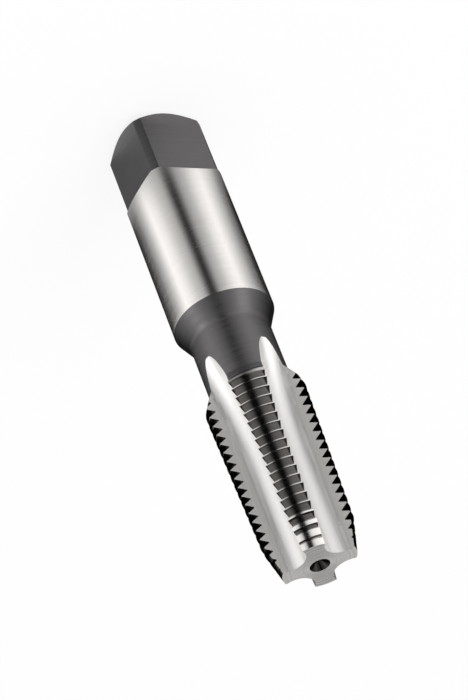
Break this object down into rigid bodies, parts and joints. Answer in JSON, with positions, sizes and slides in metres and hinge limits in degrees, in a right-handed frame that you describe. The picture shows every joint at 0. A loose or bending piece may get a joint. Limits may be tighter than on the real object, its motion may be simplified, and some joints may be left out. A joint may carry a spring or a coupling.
{
  "type": "thread tap",
  "caption": "Straight-fluted taper thread tap with a square drive end, a ground shank, a reduced dark neck and toothed cutting lands that lead in at the point.",
  "frame": {"origin": "centre of the flat face of the drive end, which the tap stands on", "axes": "+Z along the tap's axis from the drive end to the point; +X through the middle of the first of the four lands"},
  "size_m": [0.0142, 0.0142, 0.075],
  "materials": {
    "tool_steel": "ground high-speed steel, bright on the shank, flutes and thread, with black oxide left on the square, the neck and the shoulder"
  },
  "bodies": {
    "root": {"tap": "tool_steel"}
  },
  "joints": []
}
